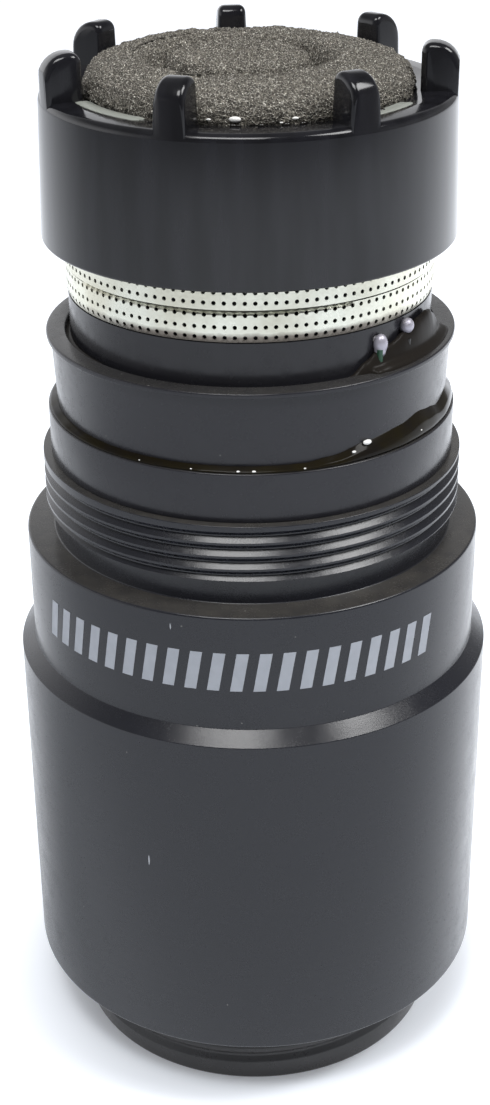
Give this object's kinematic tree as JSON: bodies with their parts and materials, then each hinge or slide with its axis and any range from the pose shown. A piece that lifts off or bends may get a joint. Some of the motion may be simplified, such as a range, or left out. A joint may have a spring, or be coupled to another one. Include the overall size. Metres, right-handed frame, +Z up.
{
  "type": "electret microphone capsule",
  "caption": "Electret microphone capsule with a foam-filled tabbed crown and a perforated sound band, on a stepped mount at the mouth of a turned, threaded aluminium barrel.",
  "frame": {"origin": "centre of the flat foot, at the height of its lowest face", "axes": "+Z up along the barrel's axis towards the crown, -Y towards the front of the picture, +X to its right"},
  "size_m": [0.04, 0.04, 0.0872],
  "materials": {
    "anodised_aluminium": "satin",
    "base_plastic": "satin",
    "board_laminate": "satin",
    "contact_brass": "satin",
    "screw_steel": "satin",
    "mount_plastic": "satin",
    "adhesive": "gloss",
    "capsule_plastic": "gloss",
    "felt": "matte",
    "screen_nickel": "satin",
    "pin_tin": "satin",
    "solder": "gloss",
    "lead_green": "satin",
    "lead_black": "satin",
    "lead_red": "satin",
    "gasket_rubber": "matte",
    "can_aluminium": "satin",
    "ring_brass": "satin",
    "film": "gloss",
    "spacer_plastic": "satin",
    "backplate_brass": "satin",
    "holder_plastic": "satin",
    "amp_laminate": "satin",
    "chip_epoxy": "matte",
    "screen_steel": "satin",
    "foam": "matte",
    "crown_plastic": "gloss"
  },
  "bodies": {
    "root": {"barrel": "anodised_aluminium", "base_spigot": "base_plastic", "contact_board": "board_laminate", "contact_ring_outer": "contact_brass", "contact_ring_inner": "contact_brass", "contact_pad": "contact_brass", "board_screws": "screw_steel", "mount_base_ring": "mount_plastic", "mount_cup": "mount_plastic", "adhesive_bead": "adhesive", "capsule_body": "capsule_plastic", "rear_cap": "capsule_plastic", "port_felt": "felt", "port_screen": "screen_nickel", "terminal_pins": "pin_tin", "solder_joints": "solder", "lead_signal": "lead_green", "lead_ground": "lead_black", "inner_leads": "lead_red", "element_gasket": "gasket_rubber", "element_can": "can_aluminium", "diaphragm_ring": "ring_brass", "diaphragm": "film", "spacer_ring": "spacer_plastic", "backplate": "backplate_brass", "backplate_holder": "holder_plastic", "gate_ring": "ring_brass", "amplifier_board": "amp_laminate", "amplifier_chip": "chip_epoxy", "front_screen": "screen_steel", "foam_disc": "foam", "crown_ring": "crown_plastic"}
  },
  "joints": []
}
